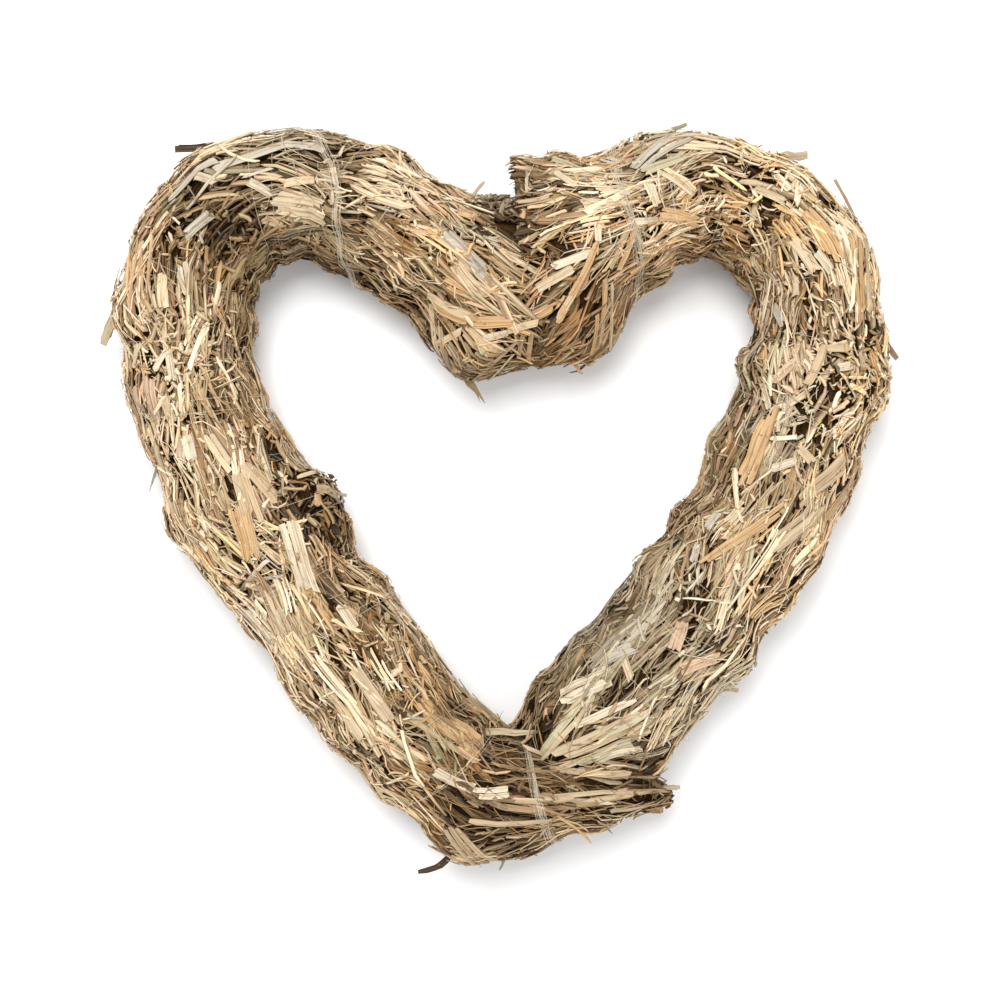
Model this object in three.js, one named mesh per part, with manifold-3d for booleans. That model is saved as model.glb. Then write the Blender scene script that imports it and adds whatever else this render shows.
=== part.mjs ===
// Straw heart: a heart-shaped wreath form of two packed straw rolls, each wound with a thin clear thread,
// with single stalks standing out of the straw. It lies on its back, +Z up, its tip towards -Y.
// Sizes are in millimetres. The origin is under the middle of the heart, on the surface it lies on.
import * as THREE from 'three';
import { mergeVertices } from 'three/addons/utils/BufferGeometryUtils.js';
import Module from 'manifold-3d';

// Heart: each roll's centre line runs from the V under the cleft, over its lobe and down its leg.
// These places are for the right half, and the left half is the same shape mirrored, with its own values.
const LOBE_RADIUS = 50;
const LOBE_END = 8;
const LOBES = {
  left: { side: -1, start: [-30, 76], lobe: [88, 84], shoulder: 117, run: 50, bow: [142, 6], foot: [22, -120] },
  right: { side: 1, start: [-12, 100], lobe: [88, 82], shoulder: 124, run: 34, bow: [146, -2], foot: [26, -120] },
};

// Tail: the left roll goes on round the tip and thins out to a cut end at the lower right
const TIP_BEND = [-4, -136];
const TAIL_ROOT = [34, -130];
const TAIL_BEND = [54, -129];
const TAIL_END = [75, -131];

// Rolls: half width seen from the front at shares of the length, half depth and height of the centre line
const LEFT_GIRTH = [[0, 36], [0.1, 36], [0.16, 31], [0.24, 29], [0.36, 30.5], [0.45, 29.5], [0.58, 31.5],
  [0.72, 31], [0.86, 29], [0.91, 24], [0.96, 13], [1, 5]];
const RIGHT_GIRTH = [[0, 45], [0.09, 46], [0.13, 42], [0.19, 31], [0.27, 28], [0.4, 28.5], [0.5, 31.5],
  [0.63, 32.5], [1, 33]];
const HALF_DEPTH = 30;
const TAIL_DEPTH_SHARE = 1.25;
const MID_HEIGHT = 28;
const ROLL_SIDES = 16;
const RING_SPACING = 7.2;

// Binding: one thread wound round each roll, drawn tight so that the straw bulges between its turns
const THREAD_RADIUS = 0.4;
const THREAD_SIDES = 4;
const THREAD_CLEARANCE = 0.7;
const THREAD_PITCH = 28;
const BULGE = 3.8;

// Meeting faces: the rolls meet on an upright seam in the V, and the right roll stands on the tail
const SEAM_X = 10;
const SEAM_TOP = 132;
const STUB_X = 5;
const FOOT_Y = -119.5;
const V_LOW = 40;
const GAP = 0.3;
const CUT_REACH = 120;

// Loose stalks: where each leaves the straw, where it ends, how far its middle bows in Z, and its width
const STALK_THICKNESS = 1.1;
const STALK_SIDES = 6;
const STALK_RINGS = 5;
const STALKS = [
  { name: 'loose_stalk_top_left', from: [-84, 156, 34], to: [-141.5, 153.8, 29], bow: 2, width: 3.4 },
  { name: 'loose_stalk_left_side', from: [-150, 124, 33], to: [-174.6, 67.5, 29], bow: 2, width: 3.6 },
  { name: 'loose_stalk_left_spike', from: [-143, 34, 30], to: [-154.4, 3, 27], bow: 1, width: 1.8 },
  { name: 'loose_stalk_left_inner', from: [-94, 8, 31], to: [-67.5, 1.5, 27], bow: 2, width: 3.8 },
  { name: 'loose_stalk_tip_hook', from: [-22, -146, 27], to: [-36.5, -165.2, 24], bow: 3, width: 2.2 },
  { name: 'loose_stalk_tip_point', from: [6, -146, 28], to: [0, -164, 26], bow: 1, width: 2.4 },
  { name: 'loose_stalk_tail_upper', from: [45, -127, 33], to: [79, -126.8, 30], bow: 1, width: 2.2 },
  { name: 'loose_stalk_tail_lower', from: [42, -134, 27], to: [72, -138.2, 25], bow: 1, width: 2.6 },
  { name: 'loose_stalk_tail_thorn', from: [36, -134, 29], to: [49.8, -147.8, 27], bow: 0, width: 1.6 },
  { name: 'loose_stalk_right_leg', from: [82, -80, 32], to: [104.8, -84.5, 29], bow: 1, width: 2.8 },
  { name: 'loose_stalk_right_side', from: [156, 80, 33], to: [174.6, 61.5, 30], bow: 2, width: 4 },
  { name: 'loose_stalk_right_top', from: [56, 152, 33], to: [82, 164.2, 30], bow: 1, width: 3.6 },
  { name: 'loose_stalk_right_strip', from: [110, 148, 34], to: [135, 150.5, 30], bow: 1, width: 4.4 },
  { name: 'loose_stalk_right_spike', from: [147, 140, 30], to: [160.5, 114, 29], bow: 1, width: 1.6 },
  { name: 'loose_stalk_cleft', from: [-20, 122, 33], to: [-7, 139, 31], bow: 1, width: 2 },
  { name: 'loose_stalk_v_left', from: [-22, 74, 33], to: [-7.9, 42, 28], bow: 1, width: 3.2 },
  { name: 'loose_stalk_v_right', from: [26, 70, 32], to: [37, 51.5, 28], bow: 1, width: 3.4 },
  { name: 'loose_stalk_tip_inner', from: [-22, -101, 41], to: [24, -103, 41], bow: 1, width: 2.4 },
];

const wasm = await Module();
wasm.setup();

// A point of the right half's plan, put on a roll's own side
function onSide(side, [x, y]) {
  return new THREE.Vector2(side * x, y);
}

// One roll's centre line in plan: a swept shoulder, the round lobe, then the bowed leg
function heartLine({ side, start, lobe, shoulder, run, bow, foot }) {
  const polar = (degrees, radius) => {
    const turn = THREE.MathUtils.degToRad(degrees);
    return [lobe[0] + radius * Math.cos(turn), lobe[1] + radius * Math.sin(turn)];
  };
  const shoulderPoint = polar(shoulder, LOBE_RADIUS);
  const turn = THREE.MathUtils.degToRad(shoulder);
  const lead = [shoulderPoint[0] - run * Math.sin(turn), shoulderPoint[1] + run * Math.cos(turn)];
  const line = new THREE.CurvePath();
  const place = (point) => onSide(side, point);
  line.add(new THREE.QuadraticBezierCurve(place(start), place(lead), place(shoulderPoint)));
  const middle = onSide(side, lobe);
  const opposite = (degrees) => THREE.MathUtils.degToRad(side > 0 ? degrees : 180 - degrees);
  const from = opposite(shoulder);
  const to = opposite(LOBE_END);
  line.add(new THREE.EllipseCurve(middle.x, middle.y, LOBE_RADIUS, LOBE_RADIUS, from, to, side > 0));
  line.add(new THREE.QuadraticBezierCurve(place(polar(LOBE_END, LOBE_RADIUS)), place(bow), place(foot)));
  return line;
}

// A value between [share, value] stations, eased so that the roll swells smoothly
function profile(stations, share) {
  const next = Math.max(1, stations.findIndex(([at]) => at >= share));
  const [shareA, valueA] = stations[next - 1];
  const [shareB, valueB] = stations[next];
  return THREE.MathUtils.lerp(valueA, valueB, THREE.MathUtils.smoothstep(share, shareA, shareB));
}

// A closed round bar whose every vertex is placed by its share of the length, its angle and its reach
function swept(sides, rings, place) {
  const bar = new THREE.CylinderGeometry(1, 1, 1, sides, rings, false, Math.PI / sides);
  bar.deleteAttribute('normal');
  bar.deleteAttribute('uv');
  const geometry = mergeVertices(bar);
  const position = geometry.getAttribute('position');
  const vertex = new THREE.Vector3();
  for (let i = 0; i < position.count; i += 1) {
    vertex.fromBufferAttribute(position, i);
    const placed = place(0.5 - vertex.y, Math.atan2(vertex.x, vertex.z), Math.hypot(vertex.x, vertex.z));
    position.setXYZ(i, placed.x, placed.y, placed.z);
  }
  return geometry;
}

// A packed roll: its length, its rings and the place of any point on it, grown by an allowance
function packedRoll(line, girths) {
  const length = line.getLength();
  const rings = Math.round(length / RING_SPACING);
  const pinch = (along, angle) => {
    const turns = (along * length) / THREAD_PITCH - angle / (2 * Math.PI);
    return BULGE * (0.5 + 0.5 * Math.cos(2 * Math.PI * turns));
  };
  const place = (along, angle, reach, grown = 0) => {
    const middle = line.getPoint(along);
    const forward = line.getTangent(along);
    const halfWidth = profile(girths, along);
    const halfDepth = Math.min(HALF_DEPTH, TAIL_DEPTH_SHARE * halfWidth);
    const bound = Math.min(1, halfWidth / HALF_DEPTH) * pinch(along, angle);
    const sideways = reach * Math.cos(angle) * (halfWidth - bound + grown);
    const up = reach * Math.sin(angle) * (halfDepth - bound + grown);
    const height = Math.max(MID_HEIGHT + up, grown > 0 ? -grown : 0);
    return new THREE.Vector3(middle.x + forward.y * sideways, middle.y - forward.x * sideways, height);
  };
  return { length, rings, place };
}

// The thread of a roll: a helix that steps from one side of the roll's rings to the next
function bindingThread(roll, fromShare, toShare) {
  const stepLength = THREAD_PITCH / ROLL_SIDES;
  const first = Math.ceil((fromShare * roll.length) / stepLength);
  const steps = Math.floor((toShare * roll.length) / stepLength) - first;
  return swept(THREAD_SIDES, steps, (along, angle, reach) => {
    const step = first + Math.round(along * steps) + 0.5;
    const turn = (step * 2 * Math.PI) / ROLL_SIDES;
    const share = (step * stepLength) / roll.length;
    const skin = facetedPlace(roll, share, turn);
    const middle = roll.place(share, turn, 0);
    const outward = skin.clone().sub(middle).normalize();
    const back = middle.clone().sub(roll.place(share + stepLength / roll.length, turn, 0)).normalize();
    const lift = THREAD_CLEARANCE + THREAD_RADIUS * (1 + reach * Math.cos(angle));
    return skin.addScaledVector(outward, lift).addScaledVector(back, THREAD_RADIUS * reach * Math.sin(angle));
  });
}

// A point of the roll's faceted skin, on the straight edge between its two nearest rings
function facetedPlace(roll, share, angle) {
  const ring = Math.min(roll.rings - 1, Math.floor(share * roll.rings));
  const low = roll.place(ring / roll.rings, angle, 1);
  const high = roll.place((ring + 1) / roll.rings, angle, 1);
  return low.lerp(high, share * roll.rings - ring);
}

// A loose stalk: a flattened tube with a slight bow, squared off at its end
function looseStalk({ from, to, bow, width }) {
  const start = new THREE.Vector3(...from);
  const end = new THREE.Vector3(...to);
  const middle = start.clone().lerp(end, 0.5).add(new THREE.Vector3(0, 0, 2 * bow));
  const line = new THREE.QuadraticBezierCurve3(start, middle, end);
  const up = new THREE.Vector3(0, 0, 1);
  return swept(STALK_SIDES, STALK_RINGS, (along, angle, reach) => {
    const forward = line.getTangent(along);
    const across = forward.clone().cross(up).normalize();
    const over = across.clone().cross(forward);
    return line.getPoint(along)
      .addScaledVector(across, 0.5 * width * reach * Math.cos(angle))
      .addScaledVector(over, 0.5 * STALK_THICKNESS * reach * Math.sin(angle));
  });
}

function toSolid(geometry) {
  const vertProperties = new Float32Array(geometry.getAttribute('position').array);
  const triVerts = new Uint32Array(geometry.index.array);
  return new wasm.Manifold(new wasm.Mesh({ numProp: 3, vertProperties, triVerts }));
}

function toGeometry(solid) {
  const { vertProperties, triVerts } = solid.getMesh();
  const geometry = new THREE.BufferGeometry();
  geometry.setAttribute('position', new THREE.BufferAttribute(vertProperties, 3));
  geometry.setIndex(new THREE.BufferAttribute(triVerts, 1));
  return geometry;
}

// A cutting block between two plan corners, taller than the heart
function cutter([lowX, lowY], [highX, highY]) {
  const box = new THREE.BoxGeometry(highX - lowX, highY - lowY, 2 * CUT_REACH);
  box.translate((lowX + highX) / 2, (lowY + highY) / 2, MID_HEIGHT);
  box.deleteAttribute('normal');
  box.deleteAttribute('uv');
  return toSolid(mergeVertices(box));
}

function rollSolid(roll, grown) {
  return toSolid(swept(ROLL_SIDES, roll.rings, (along, angle, reach) => roll.place(along, angle, reach, grown)));
}

const leftLine = heartLine(LOBES.left);
const leftFoot = onSide(LOBES.left.side, LOBES.left.foot);
const tailRoot = onSide(1, TAIL_ROOT);
leftLine.add(new THREE.QuadraticBezierCurve(leftFoot, onSide(1, TIP_BEND), tailRoot));
leftLine.add(new THREE.QuadraticBezierCurve(tailRoot, onSide(1, TAIL_BEND), onSide(1, TAIL_END)));
const leftRoll = packedRoll(leftLine, LEFT_GIRTH);
const rightRoll = packedRoll(heartLine(LOBES.right), RIGHT_GIRTH);

const leftEnd = cutter([SEAM_X - GAP / 2, V_LOW], [SEAM_X + CUT_REACH, V_LOW + CUT_REACH]);
const rightEnd = cutter([SEAM_X - CUT_REACH, V_LOW], [SEAM_X + GAP / 2, SEAM_TOP]);
const stubEnd = cutter([SEAM_X - CUT_REACH, V_LOW], [STUB_X, V_LOW + CUT_REACH]);
const footEnd = cutter([-CUT_REACH, FOOT_Y - CUT_REACH], [2 * CUT_REACH, FOOT_Y]);
const leftSolid = rollSolid(leftRoll, 0).subtract(leftEnd);
const leftRoom = rollSolid(leftRoll, GAP).subtract(leftEnd);
const rightCuts = rightEnd.add(stubEnd).add(footEnd);
const rightSolid = rollSolid(rightRoll, 0).subtract(rightCuts).subtract(leftRoom);
const rightRoom = rollSolid(rightRoll, GAP).subtract(rightCuts);

const strawMaterial = () => new THREE.MeshStandardMaterial({ color: 0xb99a63, roughness: 0.75, metalness: 0 });
const threadMaterial = () => new THREE.MeshStandardMaterial({ color: 0xdedad0, roughness: 0.25, metalness: 0 });
const heart = new THREE.Group();

function addPiece(name, geometry, material) {
  const piece = new THREE.Mesh(geometry, material);
  piece.name = name;
  heart.add(piece);
}

addPiece('straw_roll_left', toGeometry(leftSolid), strawMaterial());
addPiece('straw_roll_right', toGeometry(rightSolid), strawMaterial());
addPiece('binding_thread_left', bindingThread(leftRoll, 0.14, 0.86), threadMaterial());
addPiece('binding_thread_right', bindingThread(rightRoll, 0.15, 0.9), threadMaterial());
for (const stalk of STALKS) {
  const outside = toSolid(looseStalk(stalk)).subtract(leftRoom).subtract(rightRoom);
  addPiece(stalk.name, toGeometry(outside), strawMaterial());
}

export default heart;
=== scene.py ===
import math
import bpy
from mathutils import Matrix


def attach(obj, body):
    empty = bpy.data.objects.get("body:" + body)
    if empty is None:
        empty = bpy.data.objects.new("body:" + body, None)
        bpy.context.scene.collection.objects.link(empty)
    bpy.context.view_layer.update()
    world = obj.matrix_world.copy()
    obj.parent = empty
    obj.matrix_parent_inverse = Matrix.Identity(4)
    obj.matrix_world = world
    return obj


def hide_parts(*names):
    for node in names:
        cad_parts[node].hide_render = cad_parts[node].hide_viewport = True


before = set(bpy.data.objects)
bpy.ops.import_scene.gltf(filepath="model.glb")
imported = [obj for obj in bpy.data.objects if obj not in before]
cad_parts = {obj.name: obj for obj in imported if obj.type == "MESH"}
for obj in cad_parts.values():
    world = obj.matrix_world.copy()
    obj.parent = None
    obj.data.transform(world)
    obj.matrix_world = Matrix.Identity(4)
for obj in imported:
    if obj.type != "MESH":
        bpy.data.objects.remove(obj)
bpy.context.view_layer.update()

from types import SimpleNamespace

import bmesh
import bpy
import numpy as np
from mathutils import Matrix, Vector

# Packed cores. Each straw roll is a fat rope of straw packed round itself and bent into half of the heart.
# The core is the packed straw that shows in the gaps between the outer stalks, coloured dark as painted
# shade for those gaps.
LOBE_RADIUS = 0.050
LOBE_END_DEG = 8
MID_HEIGHT = 0.028
HALF_DEPTH = 0.030
TAIL_DEPTH_SHARE = 1.25
THREAD_PITCH = 0.028
BITE_DEPTH = 0.0022
BITE_WIDTH = 0.0075
SEAM_X = 0.010
STUB_X = 0.0075
SEAM_TOP = 0.132
V_LOW = 0.040
FOOT_Y = -0.1215
FOOT_RUN = 0.030
SWELLS = {
    "left lobe corner": (-0.134, 0.1445, 0.014, 0.004),
    "left side": (-0.168, 0.076, 0.016, 0.0015),
    "left waist": (-0.162, 0.041, 0.014, 0.0025),
    "left leg": (-0.144, -0.016, 0.020, 0.004),
    "left leg hollow": (-0.106, -0.066, 0.012, -0.004),
    "left leg ridge": (-0.089, -0.092, 0.008, 0.003),
    "left inner bump": (-0.073, 0.003, 0.015, 0.009),
    "tip": (-0.015, -0.158, 0.018, 0.004),
    "left lash top": (-0.0745, 0.151, 0.007, -0.003),
    "left lash": (-0.0735, 0.131, 0.008, -0.0025),
    "left lash inside": (-0.072, 0.112, 0.007, -0.003),
    "right lash": (0.0525, 0.143, 0.010, -0.0025),
    "left cleft": (-0.016, 0.138, 0.013, -0.006),
    "v left corner": (-0.022, 0.059, 0.018, 0.008),
    "v left hollow": (-0.038, 0.076, 0.010, -0.006),
    "v bottom": (0.014, 0.044, 0.018, -0.016),
    "v bottom right": (0.018, 0.060, 0.014, 0.008),
    "v right corner": (0.042, 0.059, 0.014, 0.004),
    "v right hollow": (0.063, 0.085, 0.014, -0.0085),
    "right lobe top": (0.070, 0.160, 0.014, 0.0035),
    "right lobe side": (0.1575, 0.120, 0.014, 0.003),
    "right side": (0.172, 0.053, 0.014, 0.0065),
    "right inner knot": (0.093, 0.027, 0.008, 0.004),
    "right leg inner": (0.026, -0.073, 0.025, 0.0045),
    "right leg hollow": (0.088, -0.097, 0.016, -0.004),
    "right lobe corner": (0.143, 0.141, 0.010, -0.003),
    "right lobe under": (0.081, 0.103, 0.012, -0.0025),
    "right inner waist": (0.108, 0.078, 0.012, -0.0035),
    "right leg inner bulge": (0.060, -0.030, 0.016, 0.003),
    "right leg foot": (0.009, -0.091, 0.010, -0.003),
    "right leg outer": (0.117, -0.062, 0.016, -0.0025),
    "left lobe under": (-0.057, 0.089, 0.008, -0.0025),
    "left inner waist": (-0.104, 0.052, 0.014, -0.0025),
    "left leg outer": (-0.128, -0.040, 0.010, -0.0025),
    "left leg inner": (-0.046, -0.046, 0.020, 0.003),
    "left leg inner foot": (-0.016, -0.084, 0.014, -0.003),
    "left leg foot": (-0.040, -0.144, 0.012, -0.003),
    "tail under": (0.030, -0.151, 0.018, -0.0045),
    "v left tip": (-0.007, 0.052, 0.010, 0.005),
}
LUMP_HEIGHT = 0.0012
LUMP_SPACING = 0.030
LUMP_SEED = 5
DRIFT_WAVES = 5
DRIFT_PACES = (0.6, 1.6)
DRIFT_RANGE = 2.2
FLOOR_ROOM = 0.0025
FLOOR_SQUEEZE = 0.32
FLOOR_CLEAR = 0.0002
CORE_DEPTH = 0.0042
CORE_SIDES = 40
CORE_RING_SPACING = 0.004


def bend(start, pull, end, steps=60):
    """Points of a curve from start to end, pulled towards a third point."""
    share = np.linspace(0, 1, steps)[:, None]
    leaving = (1 - share) ** 2 * np.array(start)
    pulled = 2 * share * (1 - share) * np.array(pull)
    return leaving + pulled + share**2 * np.array(end)


def heart_line(start, lobe, shoulder_deg, run, bow, foot):
    """The right-hand centre line of a roll: out of the V, over the lobe and down the leg."""
    turns = np.radians(np.linspace(shoulder_deg, LOBE_END_DEG, 60))
    arc = np.array(lobe) + LOBE_RADIUS * np.stack([np.cos(turns), np.sin(turns)], axis=1)
    lead = arc[0] + run * np.array([-math.sin(turns[0]), math.cos(turns[0])])
    return np.concatenate([bend(start, lead, arc[0])[:-1], arc, bend(arc[-1], bow, foot)[1:]])


def drift(s, girth, seed, wave):
    """A smooth random field over a roll's skin, about -1 to 1, with patches about a wave across."""
    waves = np.random.default_rng(seed)
    total = 0 * (s + girth)
    for _ in range(DRIFT_WAVES):
        turn = waves.uniform(0, 2 * math.pi)
        pace = 2 * math.pi / (wave * waves.uniform(*DRIFT_PACES))
        phase = waves.uniform(0, 2 * math.pi)
        way = s * math.cos(turn) + girth * math.sin(turn)
        total = total + np.cos(pace * way + phase)
    return total / DRIFT_RANGE


class Roll:
    """One packed roll: its centre line, its girth along it, and places on its skin."""

    def __init__(self, line, girths, foot_share):
        steps = np.linalg.norm(np.diff(line, axis=0), axis=1)
        run = np.concatenate([[0], np.cumsum(steps)])
        self.length = run[-1]
        self.grid = np.linspace(0, self.length, int(self.length / 0.001))
        self.x = np.interp(self.grid, run, line[:, 0])
        self.y = np.interp(self.grid, run, line[:, 1])
        forward = np.stack([np.gradient(self.x), np.gradient(self.y)])
        self.tx, self.ty = forward / np.linalg.norm(forward, axis=0)
        shares = np.array(girths)
        self.width = np.interp(self.grid / self.length, shares[:, 0], shares[:, 1])
        thin = np.clip((self.grid - self.length + FOOT_RUN) / FOOT_RUN, 0, 1) ** 2
        self.depth = np.minimum(HALF_DEPTH, TAIL_DEPTH_SHARE * self.width) * (1 - (1 - foot_share) * thin)

    def at(self, values, s):
        return np.interp(s, self.grid, values)

    def bite(self, s, theta):
        """How deep the binding presses the straw in: deepest under the thread, none between its turns."""
        turns = s / THREAD_PITCH - theta / (2 * math.pi)
        off = np.abs(turns - np.round(turns)) * THREAD_PITCH
        slim = np.minimum(1, self.at(self.width, s) / HALF_DEPTH)
        return BITE_DEPTH * slim * np.exp(-((off / BITE_WIDTH) ** 2))

    def place(self, s, theta, lift):
        """The point at that run along the roll, angle round it and height over its skin."""
        held = np.clip(s, 0, self.length)
        past = s - held
        tx = self.at(self.tx, held)
        ty = self.at(self.ty, held)
        across = np.cos(theta) * self.at(self.width, held)
        skin_x = self.at(self.x, held) + ty * across
        skin_y = self.at(self.y, held) - tx * across
        rise = lift - self.bite(s, theta)
        rise = rise + LUMP_HEIGHT * drift(held, theta * HALF_DEPTH, LUMP_SEED, LUMP_SPACING)
        for x, y, reach, height in SWELLS.values():
            rise = rise + height * np.exp(-((skin_x - x) ** 2 + (skin_y - y) ** 2) / reach**2)
        sideways = np.cos(theta) * (self.at(self.width, held) + rise)
        height = MID_HEIGHT + np.sin(theta) * (self.at(self.depth, held) + rise)
        room = FLOOR_ROOM - height
        height = np.where(room > 0, FLOOR_ROOM - FLOOR_SQUEEZE * room, height)
        x = self.at(self.x, held) + tx * past + ty * sideways
        y = self.at(self.y, held) + ty * past - tx * sideways
        return np.stack([x, y, np.maximum(height, FLOOR_CLEAR)], axis=-1)


left_line = heart_line((-0.030, 0.076), (0.088, 0.084), 117, 0.050, (0.142, 0.006), (0.022, -0.120))
left_line = left_line * np.array([-1, 1])
tip = bend((-0.022, -0.120), (-0.004, -0.136), (0.034, -0.130))
tail = bend((0.034, -0.130), (0.054, -0.129), (0.075, -0.131))
left_line = np.concatenate([left_line, tip[1:], tail[1:]])
LEFT_GIRTH = [(0, 0.036), (0.1, 0.036), (0.16, 0.031), (0.24, 0.029), (0.36, 0.0305), (0.45, 0.0295),
              (0.58, 0.0315), (0.72, 0.031), (0.86, 0.029), (0.91, 0.024), (0.957, 0.0145), (0.981, 0.0095),
              (0.994, 0.0055), (1, 0.0035)]
right_line = heart_line((-0.012, 0.100), (0.088, 0.082), 124, 0.034, (0.146, -0.002), (0.026, -0.120))
RIGHT_GIRTH = [(0, 0.045), (0.09, 0.046), (0.13, 0.042), (0.19, 0.031), (0.27, 0.028), (0.4, 0.0285),
               (0.5, 0.0315), (0.63, 0.0325), (1, 0.033)]
left_roll = Roll(left_line, LEFT_GIRTH, 1.0)
right_roll = Roll(right_line, RIGHT_GIRTH, 0.72)
rolls = {"left": left_roll, "right": right_roll}


def srgb(red, green, blue):
    """A colour as seen on a screen, 0 to 255, as the shader's linear values."""
    seen = np.array([red, green, blue]) / 255
    return np.where(seen <= 0.04045, seen / 12.92, ((seen + 0.055) / 1.055) ** 2.4)


class Wire:
    """A socket of a material's nodes. Arithmetic on it adds Math nodes."""

    def __init__(self, tree, socket):
        self.tree = tree
        self.socket = socket

    def feed(self, target, value):
        if isinstance(value, Wire):
            self.tree.links.new(value.socket, target)
        else:
            target.default_value = value

    def node(self, kind, settings=None, out=0, **inputs):
        """Adds a node: its settings first, then its sockets' values or links, named with _ for spaces."""
        made = self.tree.nodes.new(kind)
        for name, value in (settings or {}).items():
            setattr(made, name, value)
        for name, value in inputs.items():
            key = int(name[1:]) if name[1:].isdigit() else name.replace("_", " ")
            self.feed(made.inputs[key], value)
        return Wire(self.tree, made.outputs[out])

    def maths(self, operation, first, second):
        return self.node("ShaderNodeMath", {"operation": operation}, i0=first, i1=second)

    def __add__(self, other):
        return self.maths("ADD", self, other)

    def __radd__(self, other):
        return self.maths("ADD", other, self)

    def __sub__(self, other):
        return self.maths("SUBTRACT", self, other)

    def __rsub__(self, other):
        return self.maths("SUBTRACT", other, self)

    def __mul__(self, other):
        return self.maths("MULTIPLY", self, other)

    def __rmul__(self, other):
        return self.maths("MULTIPLY", other, self)

    def between(self, low, high, to_low=0.0, to_high=1.0):
        """This value eased from one range into another."""
        return self.node("ShaderNodeMapRange", {"interpolation_type": "SMOOTHSTEP"}, Value=self,
                         From_Min=low, From_Max=high, To_Min=to_low, To_Max=to_high)

    def tinted(self, colour, share, blend="MIX"):
        """This colour mixed with another by a share."""
        return self.node("ShaderNodeMix", {"data_type": "RGBA", "blend_type": blend}, out=2,
                         i0=share, i6=self, i7=colour)


def new_material(name):
    """A fresh material, its shader and a wire to add nodes from."""
    material = bpy.data.materials.new(name)
    material.use_nodes = True
    shader = material.node_tree.nodes["Principled BSDF"]
    return material, shader, Wire(material.node_tree, None)


def core_material():
    """Packed straw with brown streaks along the roll, read from the core's own map, darkened as a painted
    shade for the gaps.
    """
    material, shader, wire = new_material("packed_core_painted_shade")
    run = wire.node("ShaderNodeUVMap", {"uv_map": "run"})
    spread = wire.node("ShaderNodeMapping", Vector=run, Scale=(60, 800, 1))
    streaks = wire.node("ShaderNodeTexNoise", Vector=spread, Scale=1.0, Detail=6.0, Roughness=0.7)
    shade = streaks.between(0.32, 0.75)
    # painted shade: near black to mid brown, so the gaps between the outer stalks read dark
    colour = wire.node("ShaderNodeMix", {"data_type": "RGBA"}, out=2, i0=shade,
                       i6=(*srgb(30, 15, 5), 1), i7=(*srgb(134, 98, 56), 1))
    bump = wire.node("ShaderNodeBump", Height=shade, Strength=1.0, Distance=0.003)
    wire.feed(shader.inputs["Base Color"], colour)
    wire.feed(shader.inputs["Normal"], bump)
    shader.inputs["Roughness"].default_value = 0.85
    shader.inputs["Specular IOR Level"].default_value = 0.05
    return material


def packed_core(side, roll):
    """A closed rope a little thinner than the roll, with its length and girth as a map, cut at the seam."""
    rings = int(roll.length / CORE_RING_SPACING)
    bm = bmesh.new()
    bmesh.ops.create_cone(bm, cap_ends=True, segments=CORE_SIDES, radius1=1, radius2=1, depth=1)
    lengthwise = [e for e in bm.edges if abs(e.verts[0].co.z - e.verts[1].co.z) > 0.5]
    bmesh.ops.subdivide_edges(bm, edges=lengthwise, cuts=rings)
    run_map = bm.loops.layers.uv.new("run")
    for face in bm.faces:
        face.smooth = True
        middle = math.atan2(face.calc_center_median().y, face.calc_center_median().x)
        for loop in face.loops:
            theta = math.atan2(loop.vert.co.y, loop.vert.co.x)
            theta += 2 * math.pi * round((middle - theta) / (2 * math.pi))
            loop[run_map].uv = ((loop.vert.co.z + 0.5) * roll.length, theta * HALF_DEPTH)
    corners = np.array([v.co for v in bm.verts])
    theta = np.arctan2(corners[:, 1], corners[:, 0])
    places = roll.place((corners[:, 2] + 0.5) * roll.length, theta, -CORE_DEPTH)
    for vert, place in zip(bm.verts, places):
        vert.co = place
    verts = [v for v in bm.verts if v.co.y > V_LOW]
    upper = set(verts)
    edges = [e for e in bm.edges if upper.issuperset(e.verts)]
    faces = [f for f in bm.faces if upper.issuperset(f.verts)]
    parts = verts + edges + faces
    away = 1 if side == "left" else -1
    bmesh.ops.bisect_plane(bm, geom=parts, plane_co=(SEAM_X, 0, 0), plane_no=(away, 0, 0), clear_outer=True)
    bmesh.ops.holes_fill(bm, edges=[e for e in bm.edges if e.is_boundary])
    bmesh.ops.recalc_face_normals(bm, faces=bm.faces)
    mesh = bpy.data.meshes.new("packed_core_" + side)
    bm.to_mesh(mesh)
    bm.free()
    return mesh


def add_piece(mesh, material):
    """Shows a finished mesh as a piece of the heart."""
    piece = bpy.data.objects.new(mesh.name, mesh)
    bpy.context.scene.collection.objects.link(piece)
    mesh.materials.append(material)
    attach(piece, "root")
    return piece


core_look = core_material()
for side, roll in rolls.items():
    core = add_piece(packed_core(side, roll), core_look)
    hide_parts("straw_roll_" + side)

# Outer straw. Thousands of flattened stalks, split strips and fibres lie along each roll in layers, pressed
# down by the binding. Dry cereal straw: pale gold to brown and grey, waxy, streaked along its length.
rng = np.random.default_rng(20261125)
PHOTO_SIZE = 1000
PHOTO_MIDDLE = (500, 498.5)
FRAME_WIDTH = 0.44
CAMERA_HEIGHT = 0.8
MARKED_BRIGHTNESS = 0.66
MARKED_SLAT = 0.0022
MARKED_LIFTS = (-0.0001, 0.0006)
MARKED_SHIFT = 0.04
MARKED_TURN = 0.015
MARKED_LENGTHS = (0.74, 1.04)
MARKED_STEP = 0.00006
MARKED_TINT = 0.07
SLAT_OVERLAP = 1.2
STUB_ENDS = 900
STUB_LOW = 0.112
STUB_END_LENGTH = 0.010
STUB_ROUGHNESS = 0.0025
STUB_FILL = (0.02, 0.80)
STUB_WIDTHS = (0.0010, 0.0026)
FAN_TIP = np.array([0.0155, -0.1175])
V_SLOPES_DEG = [66, 52, 30, 14, 6]
V_HEIGHTS = [0.062, 0.085, 0.108, 0.128, 0.150]
V_RUN = 0.050
V_FADE = 0.045
V_MARGIN = 0.010
FAN_RUN = 0.075
FAN_FADE = 0.040
LEAN = 0.26
LEAN_SEED = 11
LEAN_PATCH = 0.07
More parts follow.
